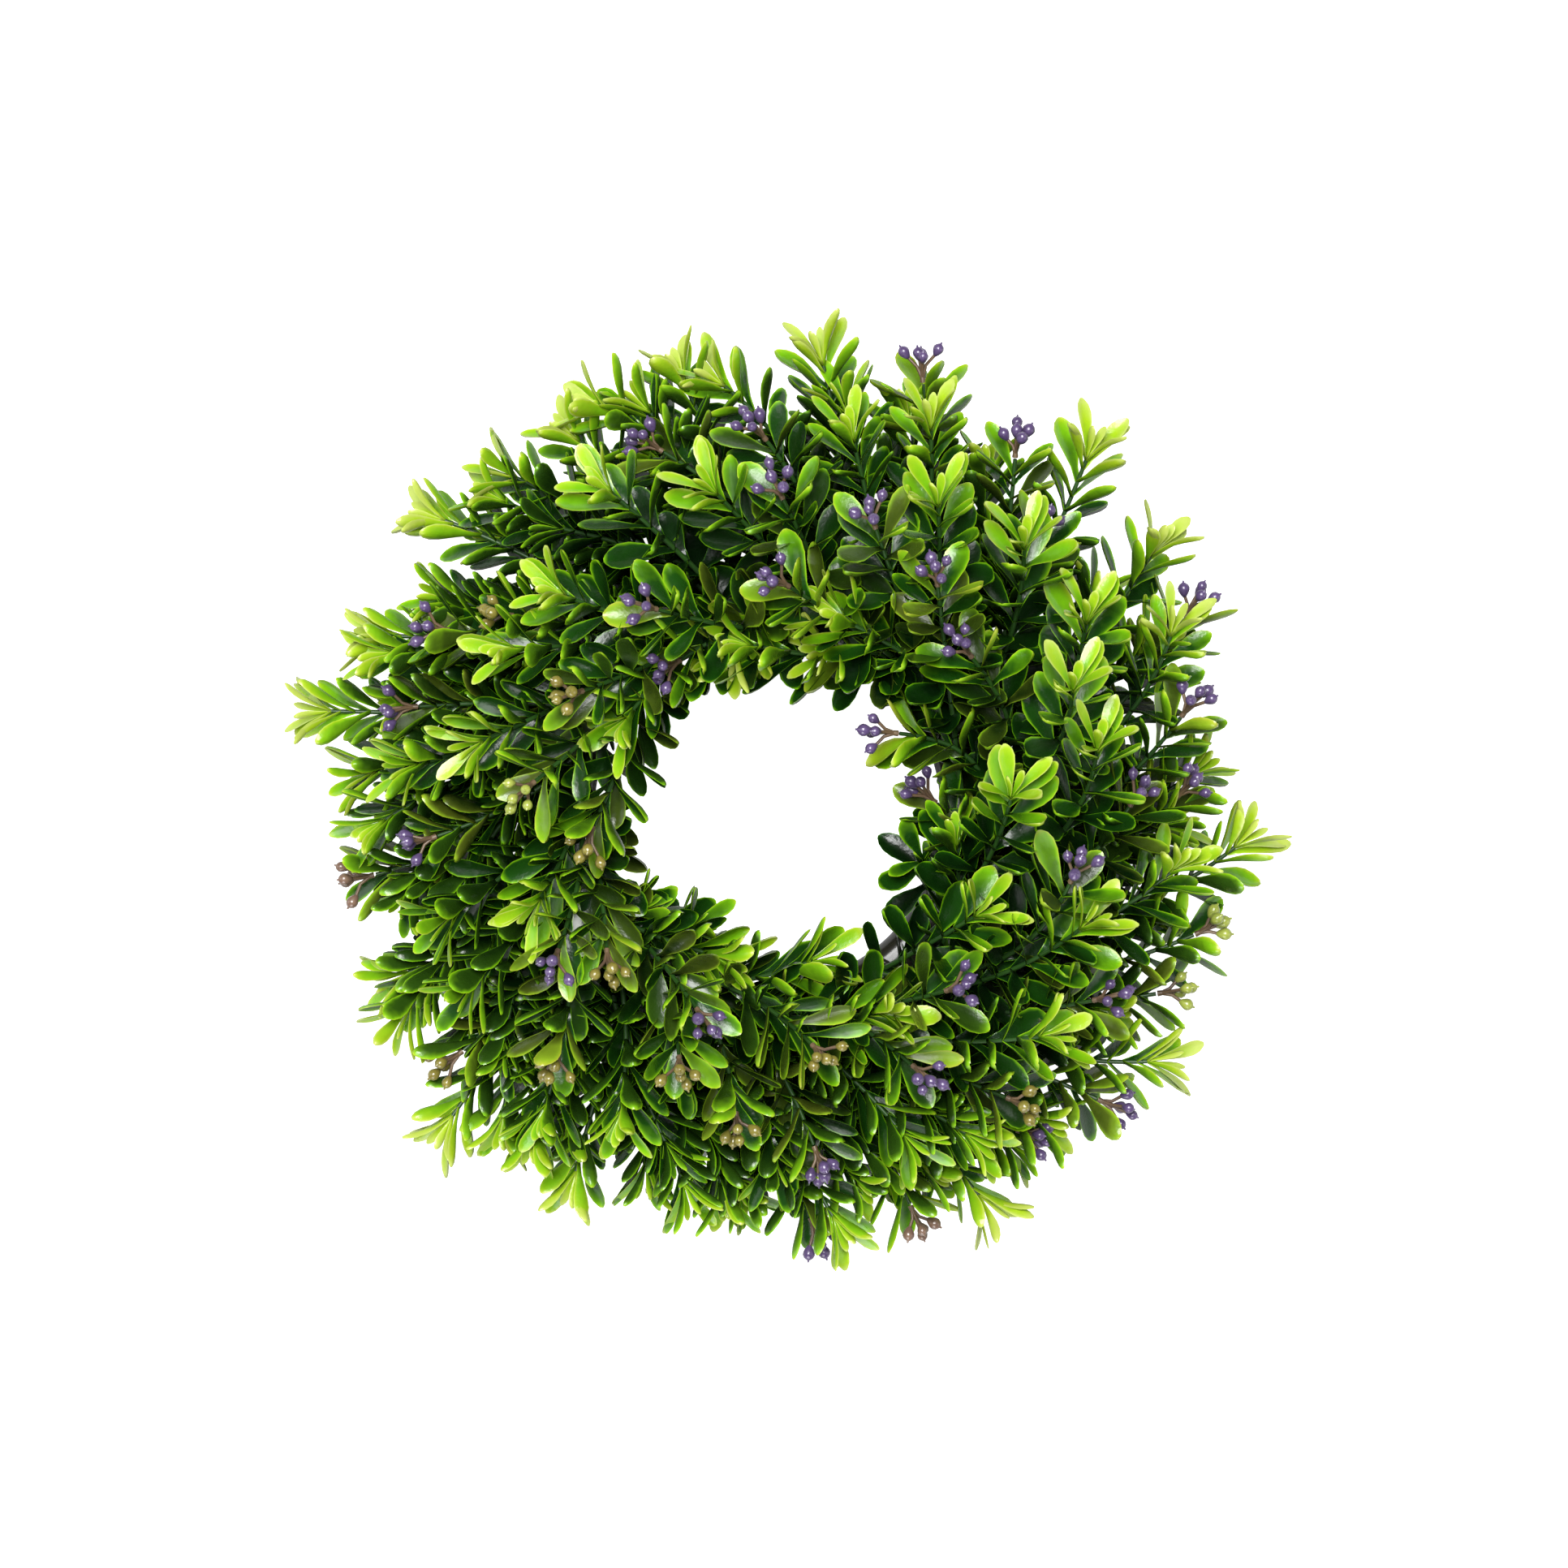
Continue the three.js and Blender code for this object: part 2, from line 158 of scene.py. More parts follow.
class Finish(Nodes):
    """A procedural plastic: a Principled surface and the nodes that feed it."""

    def __init__(self, name, roughness, coat=0.0):
        self.material = bpy.data.materials.new(name)
        self.material.use_nodes = True
        super().__init__(self.material.node_tree)
        self.surface = self.tree.nodes["Principled BSDF"]
        self.surface.inputs["Roughness"].default_value = roughness
        self.surface.inputs["Coat Weight"].default_value = coat

    def math(self, operation, first, second=0.0, third=0.0, clamp=False):
        """The result of a sum on one, two or three numbers or sockets."""
        inputs = {0: first, 1: second, 2: third}
        return self.add("ShaderNodeMath", inputs, operation=operation, use_clamp=clamp).outputs[0]

    def attribute(self, name, output="Fac"):
        """What the points of the mesh know under a name."""
        return self.add("ShaderNodeAttribute", attribute_name=name).outputs[output]

    def noise(self, scale, detail=2.0):
        """An even grain through the plastic."""
        where = self.add("ShaderNodeTexCoord").outputs["Object"]
        inputs = {"Vector": where, "Scale": scale, "Detail": detail}
        return self.add("ShaderNodeTexNoise", inputs).outputs["Fac"]

    def feed(self, socket, value):
        """Links a value to an input of the surface."""
        self.tree.links.new(value, self.surface.inputs[socket])

    def colour(self, share, first, second):
        """Gives the surface the first colour, and by a share the second."""
        inputs = {0: share, 6: first, 7: second}
        mixed = self.add("ShaderNodeMix", inputs, data_type="RGBA", clamp_factor=True)
        self.feed("Base Color", mixed.outputs[2])

    def bump(self, height, strength, distance):
        """Gives the surface a fine relief."""
        inputs = {"Height": height, "Strength": strength, "Distance": distance}
        self.feed("Normal", self.add("ShaderNodeBump", inputs).outputs["Normal"])


ring_plastic = Finish("ring_plastic", roughness=0.25)
ring_plastic.colour(ring_plastic.noise(90, detail=4), RING_BROWN, WORN_BROWN)
ring_plastic.bump(ring_plastic.noise(400), strength=0.1, distance=0.0002)

other_half = [(-out, height) for out, height in reversed(RING_SECTION[1:-1])]
ring_outline = [(RING_RADIUS + out, height) for out, height in RING_SECTION + other_half]
ring_points, ring_faces = turned(ring_outline, RING_SEGMENTS, ring_centre)
for bunch in range(BUNCHES):
    socket = place(socket_direction(bunch), RING_RADIUS, 0)
    collar_points, collar_faces = turned(COLLAR_SECTION, COLLAR_SEGMENTS, socket)
    first = len(ring_points)
    ring_points += collar_points
    ring_faces += [tuple(first + index for index in face) for face in collar_faces]
ring = add_mesh("ring", ring_points, ring_faces)
ring.data.materials.append(ring_plastic.material)
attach(ring, "root")
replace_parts(ring, "base_ring")


# Bunches of leafy sprigs
# Each bunch is one plastic moulding: a foot that stands in the ring and five stems that part
# from it and sweep anticlockwise. Spoon-shaped leaves stand on a stem in pairs, each crosswise
# to the one before, dark at the foot and yellow-green at the tip; the dark is partly painted shade.

MILLIMETRE = 0.001
FOOT_RADIUS = 0.0024
FOOT_PROFILE = [(0.0055, 1.0), (0.016, 1.0), (0.022, 0.9), (0.026, 0.5)]  # height, share of the radius
FORKS = [15, 17, 20, 23, 25]  # height at which each sprig of a bunch parts, in millimetres
SPRIGS = [  # bunch by bunch, the bend and the tip of a stem (degrees, mm out, mm up) and its buds
    [
        ((339, 111, 20), (356, 139, 28), ''),
        ((357, 98, 20), (13, 124, 42), 'purple'),
        ((340, 92, 26), (1, 105, 52), 'purple'),
        ((13, 85, 32), (31, 45, 47), 'purple'),
        ((351, 93, 41), (11, 96, 74), ''),
    ],
    [
        ((24, 100, 13), (34, 137, 30), ''),
        ((8, 110, 18), (24, 129, 44), ''),
        ((32, 83, 20), (45, 113, 46), 'purple'),
        ((14, 91, 33), (31, 107, 66), ''),
        ((33, 64, 39), (53, 81, 74), 'purple'),
    ],
    [
        ((39, 102, 13), (48, 141, 30), ''),
        ((41, 94, 17), (55, 127, 34), 'purple'),
        ((33, 71, 38), (68, 60, 60), ''),
        ((30, 86, 37), (46, 106, 70), ''),
        ((50, 67, 38), (69, 87, 72), 'purple'),
    ],
    [
        ((57, 99, 14), (70, 135, 26), 'purple'),
        ((55, 88, 23), (67, 122, 46), ''),
        ((63, 78, 29), (77, 111, 52), ''),
        ((49, 56, 35), (96, 49, 52), ''),
        ((50, 60, 41), (84, 65, 69), 'purple'),
    ],
    [
        ((78, 103, 16), (96, 127, 30), ''),
        ((73, 93, 18), (83, 134, 28), ''),
        ((73, 82, 26), (90, 108, 50), 'purple'),
        ((70, 63, 38), (87, 90, 68), 'purple'),
        ((87, 50, 40), (118, 66, 70), 'purple'),
    ],
    [
        ((93, 103, 20), (112, 128, 30), ''),
        ((112, 87, 20), (127, 124, 30), ''),
        ((108, 61, 30), (146, 49, 55), ''),
        ((102, 69, 36), (116, 103, 60), ''),
        ((115, 54, 40), (133, 86, 62), ''),
    ],
    [
        ((127, 89, 18), (138, 130, 22), ''),
        ((135, 70, 24), (150, 107, 38), 'purple'),
        ((133, 49, 36), (184, 50, 60), 'olive'),
        ((142, 51, 36), (172, 67, 66), 'green'),
        ((116, 52, 37), (146, 63, 70), 'olive'),
    ],
    [
        ((186, 73, 14), (189, 118, 18), 'brown'),
        ((161, 90, 15), (167, 134, 20), ''),
        ((142, 84, 18), (155, 124, 24), ''),
        ((150, 69, 20), (163, 107, 34), 'purple'),
        ((172, 56, 22), (184, 97, 36), 'purple'),
    ],
    [
        ((206, 72, 14), (204, 118, 16), ''),
        ((207, 91, 18), (217, 49, 34), ''),
        ((198, 58, 24), (210, 99, 40), ''),
        ((209, 57, 33), (228, 90, 54), 'olive'),
        ((189, 50, 37), (213, 71, 68), 'purple'),
    ],
    [
        ((218, 86, 12), (224, 131, 18), ''),
        ((220, 70, 20), (233, 108, 36), ''),
        ((231, 60, 24), (244, 97, 46), ''),
        ((207, 64, 35), (250, 44, 51), ''),
        ((235, 50, 28), (250, 74, 62), 'olive'),
    ],
    [
        ((234, 78, 13), (242, 122, 16), ''),
        ((253, 70, 14), (263, 112, 20), ''),
        ((254, 51, 29), (264, 87, 48), 'olive'),
        ((244, 65, 32), (286, 45, 47), ''),
        ((262, 48, 42), (281, 67, 70), 'olive'),
    ],
    [
        ((267, 78, 13), (276, 121, 16), 'purple'),
        ((289, 78, 15), (290, 124, 18), 'brown'),
        ((281, 61, 28), (293, 102, 44), ''),
        ((287, 65, 35), (315, 72, 66), 'purple'),
        ((286, 51, 37), (300, 83, 66), 'purple'),
    ],
    [
        ((293, 86, 15), (299, 131, 18), ''),
        ((310, 86, 20), (319, 129, 26), 'purple'),
        ((294, 75, 24), (310, 108, 46), 'olive'),
        ((303, 58, 32), (334, 67, 62), ''),
        ((299, 81, 37), (321, 102, 60), ''),
    ],
    [
        ((312, 103, 18), (327, 135, 26), ''),
        ((327, 101, 20), (344, 131, 28), 'green'),
        ((333, 100, 25), (352, 119, 48), ''),
        ((340, 70, 35), (4, 70, 70), ''),
        ((325, 91, 38), (347, 89, 68), 'purple'),
    ],
]
STEM_RADIUS = 0.0010
STEM_TIP_RADIUS = 0.0006
STEM_POINTS = 22
STEM_SIDES = 6
STEM_TURN = math.pi / 4
STEM_TURN_STRAY = 0.5
CURVE_STEPS = 100

LEAFY_LENGTH = 0.052
SHORT_LEAFY = {(12, 3): 0.038, (53, 5): 0.014}  # by bunch and row, where the ring shows in the opening
MOST_LEAFY = 0.85  # of a stem's length
PAIR_STEP = 0.0052
PAIR_CROWDING = 1.25  # how much closer the pairs stand towards the tip
BARE_TIP = 0.001  # stem past the last pair
BUDDED_TIP = 0.005

LOW_SPREAD = 62  # degrees between the lowest leaves and the stem, then those near its tip
HIGH_SPREAD = 32
SPREAD_STRAY = 9
BUDDED_SPREAD = 10  # more at the tip of a budded sprig
TIP_SPREAD = 24  # the last pair
TIP_SPREAD_STRAY = 5
CROSS_SPREAD = 33  # the pair crosswise to the last
CROSS_SPREAD_STRAY = 8
TUFT_SPREAD = 10  # the smallest leaves, inside the last pairs
LEAF_ROLL = 22
LOWEST_LEAF = 0.006  # height of the lowest leaf's end
LIFT_STEP = 4  # degrees by which a leaf closes until it clears that height

LEAF_SCALE = 1.04
LEAF_SCALE_STRAY = 0.1
LEAF_WIDENING = 1.08
LEAF_WIDTH_STRAY = 0.10
LEAF_CUP_STRAY = 0.5
LEAF_SLIMMING = 1.3  # above 1, the kinds of leaf change mostly near the tip
NARROW_LEAVED = (135, 305)  # directions whose sprigs have narrower leaves that hug the stem, in degrees
NARROW_WIDENING = 0.95
NARROW_LEAN = 0.78
FAR_OUT = 108  # sprigs that end further from the ring's axis have slim leaves, in millimetres
FAR_NARROWING = 0.86

LIT_PALE_SPRIGS = {(0, 3): 1.0, (54, 5): 1.1, (55, 5): 0.95}  # ripeness of broad-leaved ones at the opening: pale partly by painted light that shines through them
TIP_TONE = 0.3
RUST = 0.1
RUST_STRAY = 0.6
# Painted shade: leaves are darkened the nearer they lie to a ring line deep in the foliage.
HEART_RADIUS = 0.086  # the ring line, inside the foliage, round which the leaves get the most painted shade
HEART_UP = 0.012
PAINTED_SHADE_REACH = 0.052
NARROW_PAINTED_SHADE_REACH = 0.036
HEART_PAINTED_SHADE = 0.9


def stray(bunch, row, item):
    """A number from -1 to 1, always the same for a bunch, a row and an item. Each use has its items."""
    wave = math.sin(12.9898 * bunch + 78.233 * row + 37.719 * item + 1.7) * 43758.5453
    return 2 * (wave - math.floor(wave)) - 1


class Sprig:
    """The stem of one sprig: a quadratic curve, read at shares of its length."""

    def __init__(self, bunch, row, start, bend, tip, buds="", ripeness_and_shade=1.0):
        self.bunch = bunch
        self.row = row
        self.buds = buds
        self.pale = (bunch, row) in LIT_PALE_SPRIGS
        self.ripeness_and_shade = LIT_PALE_SPRIGS.get((bunch, row), ripeness_and_shade)
        self.leafy_length = SHORT_LEAFY.get((bunch, row), LEAFY_LENGTH)
        self.turn = STEM_TURN + STEM_TURN_STRAY * self.stray(3)
        self.slimmest = 1 if self.pale else 2 if buds else 3
        narrow = NARROW_LEAVED[0] < tip[0] % 360 < NARROW_LEAVED[1]
        self.widening = NARROW_WIDENING if narrow else LEAF_WIDENING
        self.lean_share = NARROW_LEAN if narrow else 1.0
        self.painted_shade_reach = NARROW_PAINTED_SHADE_REACH if narrow else PAINTED_SHADE_REACH
        if tip[1] > FAR_OUT:
            self.widening *= FAR_NARROWING
        corners = (start, bend, tip)
        self.corners = [place(turn, out * MILLIMETRE, up * MILLIMETRE) for turn, out, up in corners]
        self.run = [0.0]
        for step in range(1, CURVE_STEPS + 1):
            before = self.point((step - 1) / CURVE_STEPS)
            after = self.point(step / CURVE_STEPS)
            self.run.append(self.run[-1] + (after - before).length)
        self.length = self.run[-1]

    def stray(self, item):
        """A number from -1 to 1 that belongs to one item of this sprig."""
        return stray(self.bunch, self.row, item)

    def point(self, time):
        """The point of the curve at a time from 0 to 1."""
        start, bend, end = self.corners
        return (1 - time) ** 2 * start + 2 * time * (1 - time) * bend + time**2 * end

    def at(self, share):
        """The point and direction at a share of the stem's length."""
        wanted = share * self.length
        step = next((index for index, run in enumerate(self.run) if run >= wanted), CURVE_STEPS)
        step = max(step, 1)
        before, after = self.run[step - 1], self.run[step]
        time = (step - 1 + (wanted - before) / (after - before)) / CURVE_STEPS
        start, bend, end = self.corners
        direction = (1 - time) * (bend - start) + time * (end - bend)
        return self.point(time), direction.normalized()


def sides_of(along):
    """Two directions square to a line and to each other, the first of them level."""
    across = Vector((0, 0, 1)).cross(along).normalized()
    return across, along.cross(across)


LEAF_ROWS = 7
LEAF_COLUMNS = 4
LEAF_THICKNESS = 0.0006
LEAF_END = 0.995  # share of the length past which a leaf grows no narrower
LEAF_STALK = 0.12  # share of the way to the widest place that is a plain stalk
LEAF_STALK_WIDTH = 0.24
LEAF_ROUNDNESS = 0.6  # of the spoon past its widest place: 0.5 is an ellipse, 1 is more pointed
LEAF_BOWING = 2.5  # above 1, a leaf bows outwards mostly near its end
LEAF_KINDS = [  # length, width, widest place, cup depth and outward bow, from the lowest to the tip's
    (0.0182, 0.0082, 0.70, 0.0020, 0.0034),
    (0.0188, 0.0078, 0.71, 0.0019, 0.0026),
    (0.0188, 0.0069, 0.73, 0.0016, 0.0018),
    (0.0182, 0.0057, 0.75, 0.0012, 0.0018),
    (0.0170, 0.0045, 0.78, 0.0009, 0.0032),
    (0.0115, 0.0032, 0.77, 0.0005, 0.0006),
]
TIP_KIND = 4
TUFT_KIND = 5


def leaf_width(along, widest):
    """Share of a leaf's width at a share of its length: a narrow stalk, then a round spoon."""
    if along > widest:
        return max(0.0, 1 - ((along - widest) / (1 - widest)) ** 2) ** LEAF_ROUNDNESS
    rise = max(0.0, (along / widest - LEAF_STALK) / (1 - LEAF_STALK))
    return LEAF_STALK_WIDTH + (1 - LEAF_STALK_WIDTH) * rise**2 * (3 - 2 * rise)


def add_leaf_kind(name, length, width, widest, cup, bow):
    """A thin closed leaf along +X with its hollow up. Each point knows where on the leaf it is."""
    points = []
    faces = []
    spots = []
    index = {}
    for row in range(LEAF_ROWS + 1):
        along = math.sin(math.pi / 2 * row / LEAF_ROWS)
        wide = leaf_width(min(along, LEAF_END), widest)
        for column in range(LEAF_COLUMNS + 1):
            across = 2 * column / LEAF_COLUMNS - 1
            hollow = -cup * wide * (0.5 + 0.5 * along) * (1 - across * across) - bow * along**LEAF_BOWING
            on_rim = abs(across) == 1 or row == LEAF_ROWS
            for face in (1, -1):
                if on_rim and face == -1:
                    index[row, column, face] = index[row, column, 1]
                    continue
                level = 0 if on_rim else 0.5 * face
                index[row, column, face] = len(points)
                points.append((length * along, width / 2 * wide * across, hollow + level * LEAF_THICKNESS))
                spots.append((along, across, level))
    for row in range(LEAF_ROWS):
        for column in range(LEAF_COLUMNS):
            corners = ((row, column), (row + 1, column), (row + 1, column + 1), (row, column + 1))
            faces.append([index[down, right, 1] for down, right in corners])
            faces.append([index[down, right, -1] for down, right in reversed(corners)])
    root = [index[0, column, 1] for column in range(LEAF_COLUMNS + 1)]
    root += [index[0, column, -1] for column in range(LEAF_COLUMNS - 1, 0, -1)]
    faces.append(root)
    leaf = add_mesh(name, points, faces)
    rim = {
        point
        for (row, column, face), point in index.items()
        if column in (0, LEAF_COLUMNS) or row == LEAF_ROWS
    }
    sharp = [set(edge.vertices) <= rim for edge in leaf.data.edges]
    leaf.data.attributes.new("sharp_edge", "BOOLEAN", "EDGE").data.foreach_set("value", sharp)
    known = [number for spot in spots for number in spot]
    leaf.data.attributes.new("spot", "FLOAT_VECTOR", "POINT").data.foreach_set("vector", known)
    return leaf


def gather(name, shapes):
    """Moves small shapes to a collection of their own, from which a growth takes them."""
    collection = bpy.data.collections.new(name)
    bpy.context.scene.collection.children.link(collection)
    for shape in shapes:
        bpy.context.scene.collection.objects.unlink(shape)
        collection.objects.link(shape)
    return collection


leaves = [add_leaf_kind(f"leaf_kind_{number}", *kind) for number, kind in enumerate(LEAF_KINDS)]
leaf_kinds = gather("leaf_kinds", leaves)


class Growth(Nodes):
    """A Geometry Nodes tree with named inputs, which joins its parts at the end."""

    def __init__(self, name, inputs):
        super().__init__(bpy.data.node_groups.new(name, "GeometryNodeTree"))
        self.ids = {}
        for label, kind in {"Geometry": "NodeSocketGeometry", **inputs}.items():
            socket = self.tree.interface.new_socket(label, in_out="INPUT", socket_type=kind)
            self.ids[label] = socket.identifier
        self.tree.interface.new_socket("Geometry", in_out="OUTPUT", socket_type="NodeSocketGeometry")
        self.given = self.add("NodeGroupInput").outputs

    def attribute(self, name, data_type):
        """What the points of the framework know under a name."""
        node = self.add("GeometryNodeInputNamedAttribute", {"Name": name}, data_type=data_type)
        return node.outputs["Attribute"]

    def finished(self, geometry, finish):
        """The geometry in the material of one of the inputs."""
        inputs = {"Geometry": geometry, "Material": self.given[finish]}
        return self.add("GeometryNodeSetMaterial", inputs).outputs["Geometry"]

    def join(self, *parts):
        """Joins the parts and hands them out."""
        joined = self.add("GeometryNodeJoinGeometry")
        for part in parts:
            self.tree.links.new(part, joined.inputs[0])
        self.add("NodeGroupOutput", {"Geometry": joined.outputs[0]})


growth = Growth(
    "leaves_on_stems",
    {
        "Small Parts": "NodeSocketCollection",
        "Rod Sides": "NodeSocketInt",
        "Rod Finish": "NodeSocketMaterial",
        "Part Finish": "NodeSocketMaterial",
    },
)
rods = growth.add(
    "GeometryNodeCurveToMesh",
    {
        "Curve": growth.add("GeometryNodeMeshToCurve", {"Mesh": growth.given["Geometry"]}).outputs["Curve"],
        "Profile Curve": growth.add(
            "GeometryNodeCurvePrimitiveCircle", {"Resolution": growth.given["Rod Sides"], "Radius": 1.0}
        ).outputs["Curve"],
        "Scale": growth.attribute("thickness", "FLOAT"),
        "Fill Caps": True,
    },
).outputs["Mesh"]
small_parts = growth.add(
    "GeometryNodeCollectionInfo",
    {"Collection": growth.given["Small Parts"], "Separate Children": True, "Reset Children": True},
).outputs["Instances"]
stood = growth.add(
    "GeometryNodeInstanceOnPoints",
    {
        "Points": growth.given["Geometry"],
        "Selection": growth.attribute("carries", "BOOLEAN"),
        "Instance": small_parts,
        "Pick Instance": True,
        "Instance Index": growth.attribute("kind", "INT"),
        "Rotation": growth.attribute("facing", "QUATERNION"),
        "Scale": growth.attribute("size", "FLOAT_VECTOR"),
    },
).outputs["Instances"]
real = growth.add("GeometryNodeRealizeInstances", {"Geometry": stood}).outputs["Geometry"]
growth.join(growth.finished(rods, "Rod Finish"), growth.finished(real, "Part Finish"))


class Framework:
    """Lines for the rods and points for the small parts of one piece, with what each knows."""

    FACTS = {  # type of each fact, the field that holds it and its plain value
        "carries": ("BOOLEAN", "value", False),
        "kind": ("INT", "value", 0),
        "thickness": ("FLOAT", "value", 0.0),
        # age: a leaf's place up its sprig, times the sprig's ripeness, darkened by painted shade deep in
        # the wreath
        "age": ("FLOAT", "value", 0.0),
        "tone": ("FLOAT", "value", 0.0),
        "rust": ("FLOAT", "value", 0.0),
        "size": ("FLOAT_VECTOR", "vector", (1, 1, 1)),
        "facing": ("QUATERNION", "value", (1, 0, 0, 0)),
    }

    def __init__(self):
        self.points, self.edges = [], []
        self.facts = {name: [] for name in self.FACTS}

    def add_point(self, point, **facts):
        """Adds a point with the facts given, and the others plain."""
        self.points.append(point)
        for name, (_, _, plain) in self.FACTS.items():
            self.facts[name].append(facts.get(name, plain))

    def add_line(self, points, radii):
        """Adds a line that becomes a rod of the given radii."""
        first = len(self.points)
        for point, thickness in zip(points, radii):
            self.add_point(point, thickness=thickness)
        self.edges += [(index, index + 1) for index in range(first, len(self.points) - 1)]

    def grow(self, name, small_parts, rod_finish, part_finish):
        """Runs the growth on the framework and leaves one plain mesh."""
        mesh = bpy.data.meshes.new(name + "_framework")
        mesh.from_pydata(self.points, self.edges, [])
        for fact, (kind, field, plain) in self.FACTS.items():
            values = self.facts[fact]
            if isinstance(plain, tuple):
                values = [number for value in values for number in value]
            mesh.attributes.new(fact, kind, "POINT").data.foreach_set(field, values)
        piece = bpy.data.objects.new(name, mesh)
        bpy.context.scene.collection.objects.link(piece)
        modifier = piece.modifiers.new("growth", "NODES")
        modifier.node_group = growth.tree
        modifier[growth.ids["Small Parts"]] = small_parts
        modifier[growth.ids["Rod Sides"]] = STEM_SIDES
        modifier[growth.ids["Rod Finish"]] = rod_finish.material
        modifier[growth.ids["Part Finish"]] = part_finish.material
        evaluated = piece.evaluated_get(bpy.context.evaluated_depsgraph_get())
        grown = bpy.data.meshes.new_from_object(evaluated)
        piece.modifiers.clear()
        piece.data = grown
        grown.name = name
        return piece


def painted_shade_depth(point, reach):
    """How deep a point lies, from 0 at the outside of the wreath to 1 at its heart: the share of painted
    shade there.
    """
    arm = point - ring_centre
    return max(0.0, 1 - math.hypot(math.hypot(arm.x, arm.y) - HEART_RADIUS, arm.z - HEART_UP) / reach)


def leaf_line(along, side, spread):
    """The direction of a leaf that leans out to one side of the stem by its spread in degrees."""
    return along * math.cos(math.radians(spread)) + side * math.sin(math.radians(spread))


def leaf_facing(along, side, spread, roll=0.0):
    """Turns a leaf out to one side of the stem by its spread, hollow towards the tip."""
    length = leaf_line(along, side, spread)
    normal = leaf_line(along, side, spread - 90)
    normal.rotate(Matrix.Rotation(math.radians(roll), 3, length))
    width = normal.cross(length)
    return Matrix((length, width, normal)).transposed().to_quaternion()


def add_sprig(framework, sprig):
    """Adds the stem and all its leaves, pair by pair from the lowest to the tip."""
    shares = [index / (STEM_POINTS - 1) for index in range(STEM_POINTS)]
    spots = [sprig.at(share)[0] for share in shares]
    radii = [STEM_RADIUS + (STEM_TIP_RADIUS - STEM_RADIUS) * share for share in shares]
    framework.add_line(spots, radii)
    leafy = min(sprig.leafy_length, MOST_LEAFY * sprig.length)
    bare = BUDDED_TIP if sprig.buds else BARE_TIP
    pairs = round(leafy / PAIR_STEP) + 1
    for pair in range(pairs):
        age = pair / (pairs - 1)
        point, along = sprig.at(1 - (leafy * (1 - age) ** PAIR_CROWDING + bare) / sprig.length)
        across, over = sides_of(along)
        turn = sprig.turn + (pairs - 1 - pair) * math.pi / 2 + math.pi / 2
        side = across * math.cos(turn) + over * math.sin(turn)
        leafy_tip = pair == pairs - 1 and not sprig.buds
        kind = TIP_KIND if leafy_tip else min(sprig.slimmest, int(TIP_KIND * age**LEAF_SLIMMING))
        for way in (1, -1):
            item = 20 + 2 * pair + (way > 0)
            lean = sprig.lean_share * (LOW_SPREAD + (HIGH_SPREAD - LOW_SPREAD) * age)
            lean += SPREAD_STRAY * sprig.stray(item)
            if leafy_tip:
                lean = TIP_SPREAD + TIP_SPREAD_STRAY * sprig.stray(item)
            elif sprig.buds:
                lean += BUDDED_SPREAD * age
            length = LEAF_KINDS[kind][0]
            while point.z + length * leaf_line(along, side * way, lean).z < LOWEST_LEAF and lean > 0:
                lean -= LIFT_STEP
            scale = LEAF_SCALE + LEAF_SCALE_STRAY * sprig.stray(item + 40)
            width = scale * sprig.widening * (1 + LEAF_WIDTH_STRAY * sprig.stray(item + 120))
            cup = 1 + LEAF_CUP_STRAY * sprig.stray(item + 160)
            rust = max(0.0, RUST + RUST_STRAY * sprig.stray(item + 240))
            # The age fact also carries painted shade: a leaf deep in the wreath is darkened, and the
            # sprig's ripeness holds painted shade and light by where it ends.
            framework.add_point(
                point,
                carries=True,
                kind=kind,
                age=age * sprig.ripeness_and_shade * (1 - HEART_PAINTED_SHADE * painted_shade_depth(point, sprig.painted_shade_reach)),
                tone=sprig.stray(item + 80),
                rust=rust if sprig.buds or sprig.pale else 0.0,
                size=(scale, width, cup),
                facing=leaf_facing(along, side * way, lean, LEAF_ROLL * sprig.stray(item + 200)),
            )
        if not leafy_tip:
            continue
        for way in (1, -1):
            cross = (across * math.sin(turn) - over * math.cos(turn)) * way
            cross_lean = CROSS_SPREAD + CROSS_SPREAD_STRAY * sprig.stray(10 + way)
            for kind, lean in ((TIP_KIND, cross_lean), (TUFT_KIND, TUFT_SPREAD)):
                facing = leaf_facing(along, cross, lean)
                framework.add_point(
                    point, carries=True, kind=kind, age=sprig.ripeness_and_shade, tone=TIP_TONE, facing=facing
                )


LEAF_GREENS = [  # from the darkest green, painted shade deep inside the wreath, to the pale rims of the tip's leaves
    (0.0, (0.0012, 0.008, 0.001, 1)),
    (0.3, (0.0065, 0.042, 0.002, 1)),
    (0.55, (0.118, 0.312, 0.003, 1)),
    (0.8, (0.262, 0.405, 0.010, 1)),
    (1.0, (0.36, 0.445, 0.08, 1)),
]
RUSTY_OLIVE = (0.26, 0.24, 0.025, 1)
UNDERSIDE = -0.1  # spots below this level lie on the back of a leaf
UNDERSIDE_OLIVE = 0.14
AGE_BEND = 1.6
END_BEND = 1.5
SIDE_BEND = 2
RIM_SHARPNESS = 7  # the higher, the thinner the pale rim
END_RIM_SHARPNESS = 22
MOTTLE_SCALE = 160
MOTTLE_MIDDLE = 0.6
PALE_BY_AGE = 0.60  # how much each of these makes a leaf paler
PALE_BY_END = 0.08
PALE_BY_AGED_END = 0.24
PALE_BY_TONE = 0.10
PALE_BY_MOTTLE = 0.25
PALE_BY_SIDE = 0.08
PALE_BY_RIM = 0.42
STEM_DARK = (0.005, 0.026, 0.003, 1)
STEM_PALE = (0.018, 0.065, 0.005, 1)


